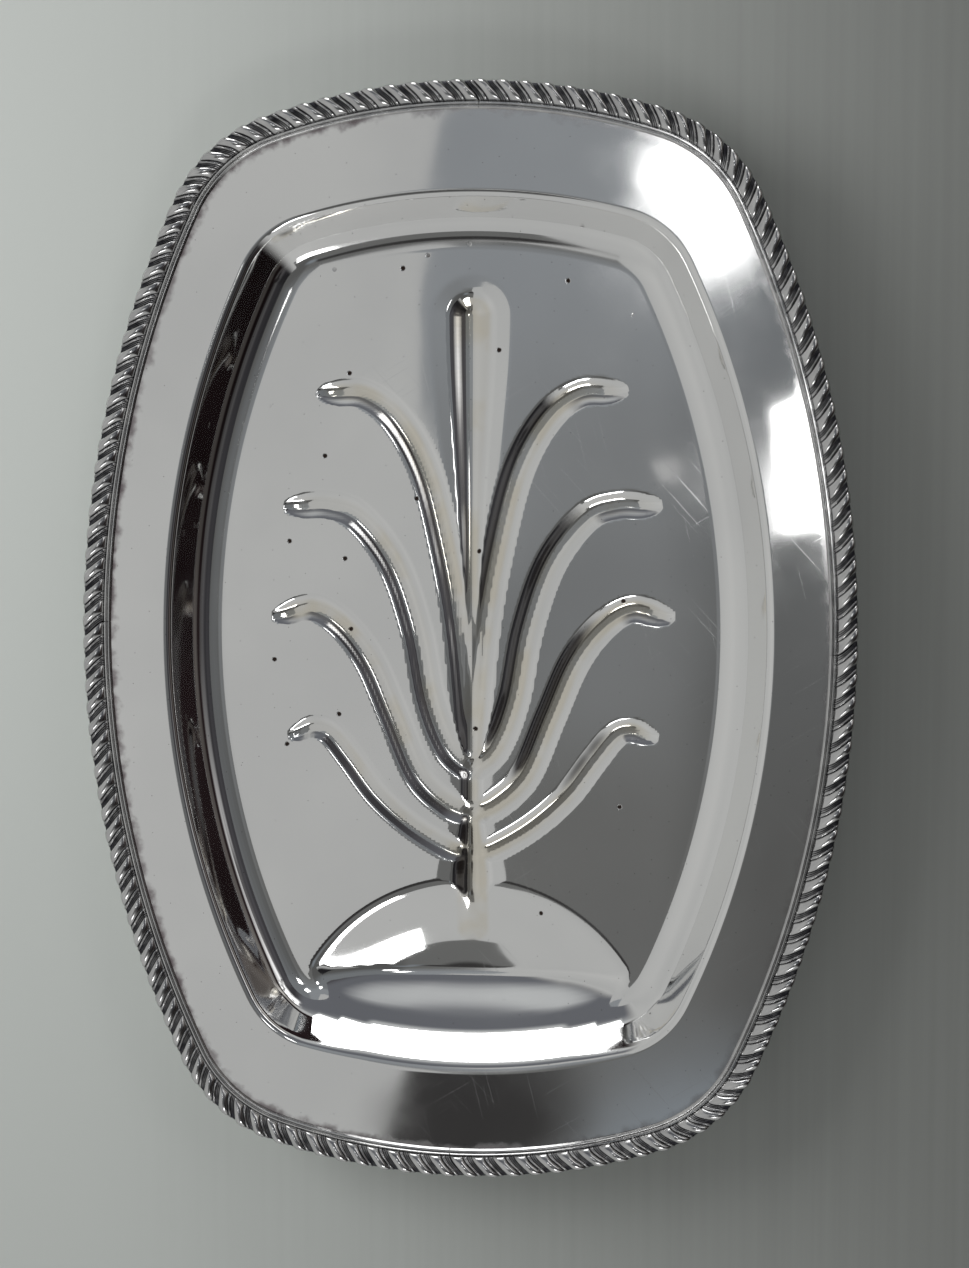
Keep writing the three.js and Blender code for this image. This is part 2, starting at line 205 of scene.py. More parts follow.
def arc_steps(coarseness):
    """Columns on each arc of an outline."""
    side = SIDE_COLUMNS // coarseness
    end = END_COLUMNS // coarseness
    corner = CORNER_COLUMNS // coarseness
    return (side, corner, end, corner, 2 * side, corner, end, corner, side)


def ring(outline, inset, coarseness=1):
    """Closed ring of points at an inset from an outline."""
    points = []
    for arc, steps in zip(outline, arc_steps(coarseness)):
        angle = arc.start + (arc.end - arc.start) * np.arange(steps) / steps
        reach = arc.radius - inset
        points.append(np.c_[arc.x + reach * np.cos(angle), arc.y + reach * np.sin(angle)])
    return np.concatenate(points)


def inset_of(outline, x, y):
    """Distance inside an outline."""
    side, corner, end = outline[0], outline[1], outline[2]
    x, y = np.abs(x), np.abs(y)
    from_side = side.radius - np.hypot(x - side.x, y)
    from_end = end.radius - np.hypot(x, y - end.y)
    from_corner = corner.radius - np.hypot(x - corner.x, y - corner.y)
    beside = np.arctan2(y, x - side.x) <= side.end
    beyond = np.arctan2(y - end.y, x) >= end.start
    return np.where(beside, from_side, np.where(beyond, from_end, from_corner))


def outline_length(outline):
    return sum(arc.radius * (arc.end - arc.start) for arc in outline)


def points_along(outline, distance, inset):
    """Points at distances along an outline's outer edge, moved inwards."""
    table = np.array(outline)
    lengths = table[:, 2] * (table[:, 4] - table[:, 3])
    starts = np.r_[0, np.cumsum(lengths)[:-1]]
    distance = np.mod(distance, lengths.sum())
    which = np.searchsorted(starts, distance, side="right") - 1
    x, y, radius, start, _ = np.moveaxis(table[which], -1, 0)
    angle = start + (distance - starts[which]) / radius
    return x + (radius - inset) * np.cos(angle), y + (radius - inset) * np.sin(angle)


TRAY = barrel(
    TRAY_HALF_WIDTH, TRAY_HALF_LENGTH, TRAY_SIDE_RADIUS, TRAY_END_RADIUS, TRAY_CORNER_RADIUS
)
LIP = barrel(
    LIP_HALF_WIDTH, LIP_HALF_LENGTH, LIP_SIDE_RADIUS, LIP_END_RADIUS, LIP_CORNER_RADIUS
)

# Section of the wall, drawn as a path that turns
COVE_SLOPE = 2 * math.atan2(COVE_RISE, COVE_WIDTH)
COVE_RADIUS = COVE_WIDTH / math.sin(COVE_SLOPE)
LIP_RUN = LIP_RADIUS * math.sin(WALL_SLOPE)
LIP_DROP = LIP_RADIUS * (1 - math.cos(WALL_SLOPE))


def wall_section():
    """Insets and heights of the dish's wall, from the lip to the floor."""
    crease_drop = CREASE_RADIUS * (math.cos(COVE_SLOPE) - math.cos(WALL_SLOPE))
    steep = (DISH_DEPTH - LIP_DROP - crease_drop - COVE_RISE) / math.sin(WALL_SLOPE)
    turns = (
        (0, WALL_SLOPE, LIP_RADIUS * WALL_SLOPE),
        (WALL_SLOPE, WALL_SLOPE, steep),
        (WALL_SLOPE, COVE_SLOPE, CREASE_RADIUS * (WALL_SLOPE - COVE_SLOPE)),
        (COVE_SLOPE, 0, COVE_RADIUS * COVE_SLOPE),
    )
    slopes, steps = [], []
    for start, end, length in turns:
        shares = (np.arange(PATH_SAMPLES) + 0.5) / PATH_SAMPLES
        slopes.append(start + (end - start) * shares)
        steps.append(np.full(PATH_SAMPLES, length / PATH_SAMPLES))
    slopes, steps = np.concatenate(slopes), np.concatenate(steps)
    insets = np.r_[0, np.cumsum(np.cos(slopes) * steps)]
    heights = LIP_HEIGHT - np.r_[0, np.cumsum(np.sin(slopes) * steps)]
    return insets, heights


WALL_INSETS, WALL_HEIGHTS = wall_section()
WALL_WIDTH = WALL_INSETS[-1]
OUTLET_Y = WELL_RADIUS - LIP_HALF_LENGTH


def smooth_min(a, b, blend):
    """Lower of two heights, with the edge between them rounded over a blend height."""
    share = np.maximum(blend - np.abs(a - b), 0) / blend
    return np.minimum(a, b) - share**2 * blend / 4


def smooth_max(a, b, blend):
    return -smooth_min(-a, -b, blend)


def smooth_step(value, start, end):
    share = np.clip((value - start) / (end - start), 0, 1)
    return share * share * (3 - 2 * share)


def through(points):
    """Smooth line through points, as an array of places."""
    points = np.array(points, float)
    ends = np.r_[2 * points[:1] - points[1:2], points, 2 * points[-1:] - points[-2:-1]]
    share = np.linspace(0, 1, SPAN_SAMPLES, endpoint=False)[:, None]
    pieces = []
    for a, b, c, d in zip(ends[:-3], ends[1:-2], ends[2:-1], ends[3:]):
        bend = (2 * a - 5 * b + 4 * c - d) * share**2 + (3 * b - 3 * c + d - a) * share**3
        pieces.append(b + ((c - a) * share + bend) / 2)
    return np.concatenate([*pieces, points[-1:]])


Channel = namedtuple("Channel", "line half_width depth shoulder_slope")


def stem_channel():
    """The stem flares at its outlet and widens towards its head."""
    height = np.linspace(-WELL_SLOPE_WIDTH / 2, STEM_HEAD_HEIGHT, STEM_SAMPLES)
    line = np.c_[np.full_like(height, TREE_SHIFT), OUTLET_Y + height]
    flare = 1 - smooth_step(height, 0, STEM_FLARE_HEIGHT)
    swell = smooth_step(height, STEM_NECK_HEIGHT, STEM_HEAD_HEIGHT)
    half_width = STEM_NECK_HALF_WIDTH
    half_width = half_width + (STEM_OUTLET_HALF_WIDTH - STEM_NECK_HALF_WIDTH) * flare
    half_width = half_width + (STEM_HEAD_HALF_WIDTH - STEM_NECK_HALF_WIDTH) * swell
    depth = STEM_NECK_DEPTH + (STEM_OUTLET_DEPTH - STEM_NECK_DEPTH) * flare
    depth = depth + (STEM_HEAD_DEPTH - STEM_NECK_DEPTH) * swell
    return Channel(line, half_width, depth, STEM_SHOULDER_SLOPE)


def branch_channel(points, half_width, depth, side):
    """A branch narrows slightly towards its tip, which ends like the bowl of a spoon."""
    line = through([(TREE_SHIFT + side * left, OUTLET_Y + height) for left, height in points])
    onward = line[-1] - line[-2]
    onward = onward / np.linalg.norm(onward) * half_width * BRANCH_TIP_SHARE
    line = np.r_[line, line[-1] + onward * np.linspace(0, 1, TIP_SAMPLES + 1)[1:, None]]
    along = smooth_step(np.linspace(0, 1, len(line)), BRANCH_NARROWING_START, 1)
    half_width = half_width * (1 - (1 - BRANCH_TIP_SHARE) * along)
    steps = np.linalg.norm(np.diff(line, axis=0), axis=1)
    to_end = np.r_[np.cumsum(steps[::-1])[::-1], 0]
    tip = np.clip(1 - to_end / BRANCH_TIP_LENGTH, 0, 1)
    half_width = half_width * np.sqrt(1 - tip**2)
    return Channel(line, half_width, depth * (1 - tip**2), BRANCH_SHOULDER_SLOPE)


CHANNELS = [stem_channel()]
for branch in zip(BRANCH_LINES, BRANCH_HALF_WIDTHS, BRANCH_DEPTHS):
    CHANNELS += [branch_channel(*branch, side) for side in (-1, 1)]


def nearest_on(line, x, y):
    """Distances to a line of points, and where along it the nearest places are."""
    best = np.full(len(x), np.inf)
    place = np.zeros(len(x))
    for i in range(len(line) - 1):
        ax, ay = line[i]
        bx, by = line[i + 1] - line[i]
        share = np.clip(((x - ax) * bx + (y - ay) * by) / (bx * bx + by * by), 0, 1)
        distance = np.hypot(x - ax - share * bx, y - ay - share * by)
        place = np.where(distance < best, i + share, place)
        best = np.minimum(distance, best)
    return best, place


def channel_depth(x, y):
    """Depth of the tree below the floor: round bottoms, steep walls and soft shoulders."""
    total = np.zeros_like(x)
    for line, half_width, depth, shoulder_slope in CHANNELS:
        reach = SHOULDER_SHARE * half_width.max() + SHOULDER_BLEND
        low, high = line.min(axis=0) - reach, line.max(axis=0) + reach
        near = np.flatnonzero((x > low[0]) & (x < high[0]) & (y > low[1]) & (y < high[1]))
        away, place = nearest_on(line, x[near], y[near])
        width = np.interp(place, np.arange(len(line)), half_width)
        valley = np.interp(place, np.arange(len(line)), depth)
        flat = np.minimum(CHANNEL_FLAT, CHANNEL_FLAT_SHARE * width)
        wall_top = np.maximum(width, 2 * flat + NORMAL_STEP)
        valley = valley * (1 - smooth_step(away, flat, wall_top))
        rounded = np.where(away < CHANNEL_FLAT, (away**2 / CHANNEL_FLAT + CHANNEL_FLAT) / 2, away)
        run = SHOULDER_SHARE * width - rounded
        shoulder = shoulder_slope * smooth_max(run, np.zeros(len(near)), SHOULDER_BLEND)
        total[near] += (valley + shoulder) ** CHANNEL_MERGE
    return total ** (1 / CHANNEL_MERGE)


def well_height(inset, x, y):
    """Bowl of the gravy well, with the end wall running down into it."""
    radius = np.hypot(x, y + LIP_HALF_LENGTH)
    phase = np.clip((WELL_RADIUS - radius) / WELL_SLOPE_WIDTH, 0, 1) * math.pi / 2
    edge_slope = WELL_DEPTH * math.pi / 2 / WELL_SLOPE_WIDTH
    bowl = edge_slope * np.maximum(radius - WELL_RADIUS, 0) - WELL_DEPTH * np.sin(phase)
    steep = LIP_HEIGHT - LIP_DROP - (inset - LIP_RUN) * math.tan(WALL_SLOPE)
    return smooth_max(steep, FLOOR_TOP + bowl, WELL_FOOT_BLEND)


def rim_height(inset, x, y):
    """The rim rises slightly from the lip to the border."""
    outside = np.maximum(-inset, 0)
    left = np.maximum(inset_of(TRAY, x, y) - BORDER_WIDTH, 0)
    return LIP_HEIGHT + RIM_RISE * outside / (outside + left + TINY)


def eased_inset(x, y):
    """Distance inside the lip, shortened at the well so that the end wall lies back."""
    inset = inset_of(LIP, x, y)
    end = smooth_step(-y, LIP_HALF_LENGTH - WELL_EASE_LENGTH, LIP_HALF_LENGTH - WALL_WIDTH)
    middle = 1 - smooth_step(np.abs(x) / WELL_RADIUS, *WELL_EASE_SHARES)
    return np.where(inset > 0, inset * (1 - WELL_WALL_EASE * end * middle), inset)


def upper_skin(x, y):
    """Height of the sheet's upper side."""
    inset = eased_inset(x, y)
    dish = np.interp(inset, WALL_INSETS, WALL_HEIGHTS)
    dish = np.where(inset < 0, rim_height(inset, x, y), dish)
    skin = smooth_min(dish, well_height(inset, x, y), WELL_EDGE_BLEND)
    sunk = np.maximum(FLOOR_TOP - skin, 0)
    tree = channel_depth(x, y)
    merged = (sunk**CHANNEL_MERGE + tree**CHANNEL_MERGE) ** (1 / CHANNEL_MERGE)
    return np.maximum(skin, FLOOR_TOP) - merged


def upper_normals(x, y):
    """Upward normals of the sheet's upper side."""
    across = upper_skin(x + NORMAL_STEP, y) - upper_skin(x - NORMAL_STEP, y)
    along = upper_skin(x, y + NORMAL_STEP) - upper_skin(x, y - NORMAL_STEP)
    normals = np.c_[-across, -along, np.full(len(x), 2 * NORMAL_STEP)]
    return normals / np.linalg.norm(normals, axis=1, keepdims=True)


def sheet_plan(insets, rim_rows, coarseness):
    """Plan of the sheet: rings from its edge to the floor, and a patch that fills the floor.
    Returns places, faces and the number of columns in a ring."""
    border_ring = ring(TRAY, BORDER_WIDTH, coarseness)
    lip_ring = ring(LIP, 0, coarseness)
    rings = [ring(TRAY, EDGE_LAP, coarseness)]
    for row in range(rim_rows):
        rings.append(border_ring + (lip_ring - border_ring) * row / rim_rows)
    rings += [ring(LIP, inset, coarseness) for inset in insets]
    columns = len(lip_ring)
    base = columns * (len(rings) - 1)
    side, corner, end = arc_steps(coarseness)[:3]
    last = rings[-1]
    right = (np.arange(2 * side + 1) - side) % columns
    top = side + corner + np.arange(end + 1)
    left = side + 2 * corner + end + np.arange(2 * side + 1)
    bottom = 3 * side + 3 * corner + end + np.arange(end + 1)
    u = np.linspace(0, 1, end + 1)[None, :, None]
    v = np.linspace(0, 1, 2 * side + 1)[:, None, None]
    low, high = last[bottom][None], last[top][::-1][None]
    west, east = last[left][::-1][:, None], last[right][:, None]
    corners = (1 - v) * ((1 - u) * low[:, :1] + u * low[:, -1:])
    corners = corners + v * ((1 - u) * high[:, :1] + u * high[:, -1:])
    patch = (1 - v) * low + v * high + (1 - u) * west + u * east - corners
    inner = patch[1:-1, 1:-1].reshape(-1, 2)
    grid = np.zeros((2 * side + 1, end + 1), int)
    grid[1:-1, 1:-1] = base + columns + np.arange(len(inner)).reshape(2 * side - 1, end - 1)
    grid[0], grid[-1] = base + bottom, base + top[::-1]
    grid[:, 0], grid[:, -1] = base + left[::-1], base + right
    column = np.arange(columns)
    following = np.roll(column, -1)
    faces = []
    for row in range(len(rings) - 1):
        out, into = row * columns, (row + 1) * columns
        faces.append(np.c_[out + column, out + following, into + following, into + column])
    cells = np.stack([grid[:-1, :-1], grid[:-1, 1:], grid[1:, 1:], grid[1:, :-1]], axis=2)
    faces.append(cells.reshape(-1, 4))
    return np.concatenate([*rings, inner]), np.concatenate(faces), columns


def make_mesh(name, points, faces, normals=None, values=None):
    """Mesh object from places in millimetres, with places that coincide merged."""
    keys = np.round(points, MERGE_DECIMALS)
    _, first, merged = np.unique(keys, axis=0, return_index=True, return_inverse=True)
    merged = merged.ravel()
    kept = []
    for face in faces:
        corners = list(dict.fromkeys(merged[list(face)].tolist()))
        if len(corners) > 2:
            kept.append(corners)
    mesh = bpy.data.meshes.new(name)
    mesh.from_pydata((points[first] * MM).tolist(), [], kept)
    mesh.update()
    mesh.shade_smooth()
    for key, value in (values or {}).items():
        attribute = mesh.attributes.new(key, "FLOAT", "POINT")
        attribute.data.foreach_set("value", value[first].astype(np.float32))
    if normals is not None:
        mesh.normals_split_custom_set_from_vertices(normals[first].tolist())
    obj = bpy.data.objects.new(name, mesh)
    bpy.context.collection.objects.link(obj)
    return obj


def upper_insets():
    """Rings of the wall, closest where it turns."""
    crease = WALL_INSETS[2 * PATH_SAMPLES]
    crease_end = WALL_INSETS[3 * PATH_SAMPLES]
    ends = (0, LIP_RUN, crease, crease_end, WALL_WIDTH, LIP_CORNER_RADIUS)
    stretches = [np.linspace(*stretch) for stretch in zip(ends[:-1], ends[1:], WALL_RINGS)]
    return np.unique(np.concatenate(stretches))


def make_body():
    """The pressed sheet: a fine upper side, and an underside with fewer columns."""
    plan, faces, columns = sheet_plan(upper_insets(), RIM_ROWS, 1)
    x, y = plan.T
    top = np.c_[plan, upper_skin(x, y)]
    normals = upper_normals(x, y)
    under_plan, under_faces, under_columns = sheet_plan(
        upper_insets()[::UNDERSIDE_RING_STEP], UNDERSIDE_RIM_ROWS, UNDERSIDE_COARSENESS
    )
    ux, uy = under_plan.T
    under_normals = upper_normals(ux, uy)
    under = np.c_[under_plan, upper_skin(ux, uy)] - under_normals * SHEET
    offset = len(top)
    column = np.arange(under_columns)
    following = np.roll(column, -1)
    middle = (UNDERSIDE_COARSENESS + 1) // 2
    edge = [np.c_[UNDERSIDE_COARSENESS * column + middle, offset + column, offset + following]]
    for step in range(UNDERSIDE_COARSENESS):
        upper = UNDERSIDE_COARSENESS * column + step
        below = column if step < middle else following
        edge.append(np.c_[upper, offset + below, (upper + 1) % columns])
    all_faces = [*faces.tolist(), *(under_faces[:, ::-1] + offset).tolist()]
    all_faces += np.concatenate(edge).tolist()
    points = np.concatenate([top, under])
    tree = np.r_[channel_depth(x, y), np.zeros(len(under))]
    border = np.r_[inset_of(TRAY, x, y) - BORDER_WIDTH, np.full(len(under), LIP_HALF_WIDTH)]
    values = {"channel": tree, "border_distance": border}
    all_normals = np.concatenate([normals, -under_normals])
    return make_mesh("pressed_sheet", points, all_faces, all_normals, values)


# Sockets of a node that mixes colours
MIX_FIRST = 6
MIX_SECOND = 7
MIX_RESULT = 2

# Marks on metal. Scales of noise count features per metre.
NOISE_MIDDLE = 0.5
SPOT_WOBBLE_SCALE = 900
SPOT_WOBBLE = 0.6
SPOT_SOFTNESS = 1.5
HAIRLINE_STRETCH = (0.04, 0.0008, 1)
HAIRLINE_SOFTNESS = 0.06
HAIRLINE_PATCH_SCALE = 13
HAIRLINE_PATCHES = (0.48, 0.62)


class Surface:
    """A material whose nodes are added and joined by name."""

    def __init__(self, name):
        self.material = bpy.data.materials.new(name)
        self.material.use_nodes = True
        self.nodes = self.material.node_tree.nodes
        self.links = self.material.node_tree.links
        self.shader = self.nodes["Principled BSDF"]
        self.place = self.add("ShaderNodeTexCoord").outputs["Object"]

    def set(self, socket, value):
        if isinstance(value, bpy.types.NodeSocket):
            self.links.new(value, socket)
        else:
            socket.default_value = value

    def add(self, kind, inputs=(), **settings):
        node = self.nodes.new(kind)
        for key, value in settings.items():
            setattr(node, key, value)
        for key, value in dict(inputs).items():
            self.set(node.inputs[key], value)
        return node

    def math(self, operation, first, second):
        node = self.add("ShaderNodeMath", {0: first, 1: second}, operation=operation)
        return node.outputs["Value"]

    def times(self, first, second):
        return self.math("MULTIPLY", first, second)

    def plus(self, first, second):
        return self.math("ADD", first, second)

    def share(self, value, start, end, low=0.0, high=1.0):
        """Smooth step of a value from start to end."""
        inputs = {"Value": value, "From Min": start, "From Max": end, "To Min": low, "To Max": high}
        node = self.add("ShaderNodeMapRange", inputs, interpolation_type="SMOOTHSTEP")
        return node.outputs["Result"]

    def mix(self, share, first, second):
        node = self.add("ShaderNodeMix", data_type="RGBA")
        self.set(node.inputs["Factor"], share)
        for index, colour in ((MIX_FIRST, first), (MIX_SECOND, second)):
            self.set(node.inputs[index], (*colour, 1) if isinstance(colour, tuple) else colour)
        return node.outputs[MIX_RESULT]

    def value_of(self, attribute):
        return self.add("ShaderNodeAttribute", attribute_name=attribute).outputs["Fac"]

    def noise(self, scale, detail=2.0, stretch=(1, 1, 1), turn=0.0):
        """Noise with a number of features per metre, stretched along a turned direction."""
        mapping = {"Vector": self.place, "Scale": stretch, "Rotation": (0, 0, math.radians(turn))}
        where = self.add("ShaderNodeMapping", mapping, vector_type="TEXTURE").outputs["Vector"]
        inputs = {"Vector": where, "Scale": scale, "Detail": detail}
        return self.add("ShaderNodeTexNoise", inputs).outputs["Fac"]

    def spots(self, per_metre, radius, chance):
        """Round spots of a radius in millimetres, in some of the cells of a scatter."""
        wobble = self.times(self.noise(SPOT_WOBBLE_SCALE), SPOT_WOBBLE)
        inputs = {"Vector": self.place, "Scale": per_metre}
        cells = self.add("ShaderNodeTexVoronoi", inputs, voronoi_dimensions="2D")
        reach = radius * MM * per_metre
        away = self.plus(cells.outputs["Distance"], self.times(wobble, reach))
        near = self.share(away, reach, SPOT_SOFTNESS * reach, 1, 0)
        tone = self.add("ShaderNodeSeparateColor", {"Color": cells.outputs["Color"]})
        return self.times(near, self.math("LESS_THAN", tone.outputs["Red"], chance))

    def scratches(self, turn, amount):
        """Hairlines along a direction, in patches."""
        grain = self.noise(1, 0, HAIRLINE_STRETCH, turn)
        lines = self.share(grain, amount, amount + HAIRLINE_SOFTNESS)
        return self.times(lines, self.share(self.noise(HAIRLINE_PATCH_SCALE, 1), *HAIRLINE_PATCHES))

    def finish(self, colour, roughness, height=None, height_scale=0.0):
        self.shader.inputs["Metallic"].default_value = 1
        self.set(self.shader.inputs["Base Color"], colour)
        self.set(self.shader.inputs["Roughness"], roughness)
        if height is not None:
            bump = self.add("ShaderNodeBump", {"Height": height, "Distance": height_scale * MM})
            self.set(self.shader.inputs["Normal"], bump.outputs["Normal"])
        return self.material

    def emit(self, colour):
        """Finish as a card that gives off a colour and mirrors nothing."""
        self.shader.inputs["Base Color"].default_value = (0, 0, 0, 1)
        self.shader.inputs["Specular IOR Level"].default_value = 0
        self.shader.inputs["Emission Strength"].default_value = 1
        self.set(self.shader.inputs["Emission Color"], colour)
        return self.material


# Plate of the sheet. Distances on the sheet are in millimetres, and ranges of its axes in metres.
BRIGHT_SILVER = (0.92, 0.92, 0.91)
DULL_SILVER = (0.86, 0.86, 0.855)
VIOLET_TARNISH = (0.27, 0.23, 0.24)
YELLOW_TARNISH = (0.80, 0.72, 0.55)
PIT_BROWN = (0.05, 0.036, 0.03)
CLOUD_SCALE = 14
CLOUDS = (0.3, 0.7)
STAIN_DEPTHS = (0.5, 1.6)
STAIN_SCALE = 38
STAIN_NOISE = (0.42, 0.66)
STAIN_SHARES = (0.1, 0.55)
RAGGED_SCALE = 150
RAGGED_REACH = 9.0
TARNISH_EDGE = (-5.6, -1.8)
TARNISH_NOISE = (0.3, 0.55)
TARNISH_SHARES = (0.35, 1)
TARNISH_ACROSS = (-0.04, 0.08)
TARNISH_SIDES = (1, 0.3)
PITS_PER_METRE = 34
PIT_RADIUS = 0.95
PIT_SLANT = -0.5
PIT_ACROSS = (-0.12, 0.05)
PIT_CHANCES = (0.75, 0.12)
PIT_BORDER_DISTANCES = (48, 56)
SPECKS_PER_METRE = 150
SPECK_RADIUS = 0.2
SPECK_CHANCE = 0.2
SPECK_SHARE = 0.5
Hairlines = namedtuple("Hairlines", "turn amount")
HAIRLINES = (Hairlines(31, 0.745), Hairlines(-48, 0.75), Hairlines(104, 0.75))
POLISH_SCALE = 22
POLISH_NOISE = (0.42, 0.72)
POLISH_ROUGHNESS = (0.04, 0.085)
TARNISH_ROUGHNESS = 0.25
STAIN_ROUGHNESS = 0.05
HAIRLINE_ROUGHNESS = 0.06
PIT_ROUGHNESS = 0.5
WAVE_SCALE = 15
WAVE_HEIGHT = 0.2
HAIRLINE_HEIGHT = -0.001
PIT_HEIGHT = -0.3


def polished_silver():
    """Mirror-bright plate with tarnish by the border and in the channels, pits and hairlines."""
    surface = Surface("polished_silver")
    split = surface.add("ShaderNodeSeparateXYZ", {"Vector": surface.place})
    across, along = split.outputs["X"], split.outputs["Y"]
    from_border = surface.value_of("border_distance")
    clouds = surface.noise(CLOUD_SCALE, 3)
    colour = surface.mix(surface.share(clouds, *CLOUDS), DULL_SILVER, BRIGHT_SILVER)
    sunk = surface.share(surface.value_of("channel"), *STAIN_DEPTHS)
    blotches = surface.share(surface.noise(STAIN_SCALE, 3), *STAIN_NOISE, *STAIN_SHARES)
    stain = surface.times(sunk, blotches)
    colour = surface.mix(stain, colour, YELLOW_TARNISH)
    ragged = surface.times(surface.noise(RAGGED_SCALE, 4), -RAGGED_REACH)
    strip = surface.share(surface.plus(from_border, ragged), *TARNISH_EDGE, 1, 0)
    strip = surface.times(strip, surface.share(clouds, *TARNISH_NOISE, *TARNISH_SHARES))
    strip = surface.times(strip, surface.share(across, *TARNISH_ACROSS, *TARNISH_SIDES))
    colour = surface.mix(strip, colour, VIOLET_TARNISH)
    slant = surface.plus(across, surface.times(along, PIT_SLANT))
    chance = surface.share(slant, *PIT_ACROSS, *PIT_CHANCES)
    pits = surface.spots(PITS_PER_METRE, PIT_RADIUS, chance)
    pits = surface.times(pits, surface.share(from_border, *PIT_BORDER_DISTANCES))
    specks = surface.spots(SPECKS_PER_METRE, SPECK_RADIUS, SPECK_CHANCE)
    dark = surface.math("MAXIMUM", pits, surface.times(specks, SPECK_SHARE))
    colour = surface.mix(dark, colour, PIT_BROWN)
    lines = surface.scratches(*HAIRLINES[0])
    for hairlines in HAIRLINES[1:]:
        lines = surface.plus(lines, surface.scratches(*hairlines))
    roughness = surface.share(surface.noise(POLISH_SCALE, 4), *POLISH_NOISE, *POLISH_ROUGHNESS)
    rougher = (
        (strip, TARNISH_ROUGHNESS),
        (stain, STAIN_ROUGHNESS),
        (lines, HAIRLINE_ROUGHNESS),
        (pits, PIT_ROUGHNESS),
    )
    for mark, amount in rougher:
        roughness = surface.plus(roughness, surface.times(mark, amount))
    height = surface.plus(surface.noise(WAVE_SCALE, 1), surface.times(lines, HAIRLINE_HEIGHT))
    height = surface.plus(height, surface.times(pits, PIT_HEIGHT))
    return surface.finish(colour, roughness, height, WAVE_HEIGHT)


# Plate of the border and the feet
# Silver of the border, kept dark at its low end: partly the plate's own tone, partly painted dark
# reflection.
BORDER_SILVERS = ((0.44, 0.44, 0.45), (0.85, 0.845, 0.83))
BORDER_CLOUD_SCALE = 110
# Blackening of the hollows and the groove: partly tarnish, partly painted shade and painted dark
# reflection.
TARNISH_AND_PAINTED_SHADE = (0.05, 0.05, 0.058)
HOLLOW_NOISE_SCALE = 300
HOLLOW_NOISE_SHARE = 0.6
HOLLOW_SHADE_EDGE = (0.6, 1.3)
BORDER_ROUGHNESS_SCALE = 160
BORDER_ROUGHNESS = (0.08, 0.22)
HOLLOW_ROUGHNESS = 0.3
FOOT_SILVERS = ((0.52, 0.50, 0.47), (0.80, 0.79, 0.77))
FOOT_CLOUD_SCALE = 120
FOOT_ROUGHNESS_SCALE = 200
FOOT_ROUGHNESS = (0.16, 0.34)
FOOT_SCUFFS = Hairlines(35, 0.66)
SCUFF_ROUGHNESS = 0.2


def border_silver():
    """Plate blackened in the hollows of the gadroons, partly as tarnish and partly as painted shade
    and painted dark reflection, and worn bright on their crests.
    """
    surface = Surface("border_silver")
    # Painted shade: the hollows and the groove are blackened, partly as tarnish and partly as
    # painted shade and painted dark reflection.
    hollow_noise = surface.times(surface.noise(HOLLOW_NOISE_SCALE, 3), HOLLOW_NOISE_SHARE)
    tarnish_and_shade = surface.share(surface.plus(surface.value_of("hollow"), hollow_noise), *HOLLOW_SHADE_EDGE)
    colour = surface.mix(surface.noise(BORDER_CLOUD_SCALE, 3), *BORDER_SILVERS)
    colour = surface.mix(tarnish_and_shade, colour, TARNISH_AND_PAINTED_SHADE)
    rough = surface.noise(BORDER_ROUGHNESS_SCALE, 3)
    roughness = surface.share(rough, *CLOUDS, *BORDER_ROUGHNESS)
    roughness = surface.plus(roughness, surface.times(tarnish_and_shade, HOLLOW_ROUGHNESS))
    return surface.finish(colour, roughness)


def foot_silver():
    """Duller plate with scuffs."""
    surface = Surface("foot_silver")
    colour = surface.mix(surface.noise(FOOT_CLOUD_SCALE, 4), *FOOT_SILVERS)
    scuffs = surface.times(surface.scratches(*FOOT_SCUFFS), SCUFF_ROUGHNESS)
    rough = surface.noise(FOOT_ROUGHNESS_SCALE, 3)
    roughness = surface.plus(surface.share(rough, *CLOUDS, *FOOT_ROUGHNESS), scuffs)
    return surface.finish(colour, roughness)


def make_camera():
    place, target = Vector(CAMERA_PLACE) * MM, Vector(CAMERA_TARGET) * MM
    back = (place - target).normalized()
    right = Vector((0, 1, 0)).cross(back).normalized()
    up = back.cross(right)
    turn = Matrix((right, up, back)).transposed()
    camera = bpy.data.objects.new("camera", bpy.data.cameras.new("camera"))
    camera.data.lens = CAMERA_LENS
    camera.matrix_world = Matrix.Translation(place) @ turn.to_4x4()
    bpy.context.collection.objects.link(camera)
    bpy.context.scene.camera = camera


# Lobes and reeds of the border. A lobe takes a share of the pitch and swells at both its ends.
Lobe = namedtuple("Lobe", "share outer inner steps")
LOBES = (
    Lobe(0.60, 1.0, 0.9, 9),
    Lobe(0.20, 0.4, 0.55, 4),
    Lobe(0.10, 0.0, 0.45, 3),
    Lobe(0.10, 0.0, 0.45, 3),
)
DOME_STEPS = 14
DOME_FOOT = 0.7
CREST_SKEW = 1.32
TWIST_CURL = 0.5
BULGE_SINK = 0.65
SKIRT_INSET = 0.43
REBATE = 1.3
GROOVE_HEIGHT = 0.4
GROOVE_STEP = 0.05
BORDER_SHARP_ANGLE = math.radians(50)
REED_STEPS = 5
Reed = namedtuple("Reed", "inset half_width top")
REEDS = (Reed(9.05, 0.7, 1.6), Reed(10.4, 0.6, 1.2))


def lobe_columns():
    """Places across one pitch of the border, and how far each swells at both ends of a lobe."""
    columns, start = [], 0
    for share, outer, inner, steps in LOBES:
        turn = math.pi * np.arange(steps) / steps
        place = start + share * (1 - np.cos(turn)) / 2
        columns.append(np.c_[place, outer * np.sin(turn), inner * np.sin(turn)])
        start += share
    return np.concatenate(columns)


